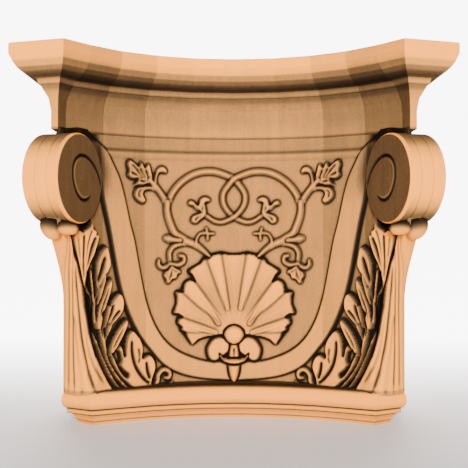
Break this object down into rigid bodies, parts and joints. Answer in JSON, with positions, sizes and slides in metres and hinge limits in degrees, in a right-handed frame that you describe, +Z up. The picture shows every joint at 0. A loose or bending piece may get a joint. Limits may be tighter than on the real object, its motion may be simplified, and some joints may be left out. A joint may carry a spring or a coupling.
{
  "type": "ionic pilaster capital",
  "caption": "Carved wooden ionic pilaster capital: concave front with a raised U band rolling into volutes, shell, scrolling stems, acanthus corners, abacus and base.",
  "frame": {"origin": "middle of the underside's bounding rectangle, on the surface that it stands on", "axes": "+X across the front to the right, +Y from the concave front to the flat back, +Z up"},
  "size_m": [0.3, 0.1468, 0.263],
  "materials": {
    "carved_wood": "smooth satin wood with darkened recesses"
  },
  "bodies": {
    "root": {"capital": "carved_wood"}
  },
  "joints": []
}
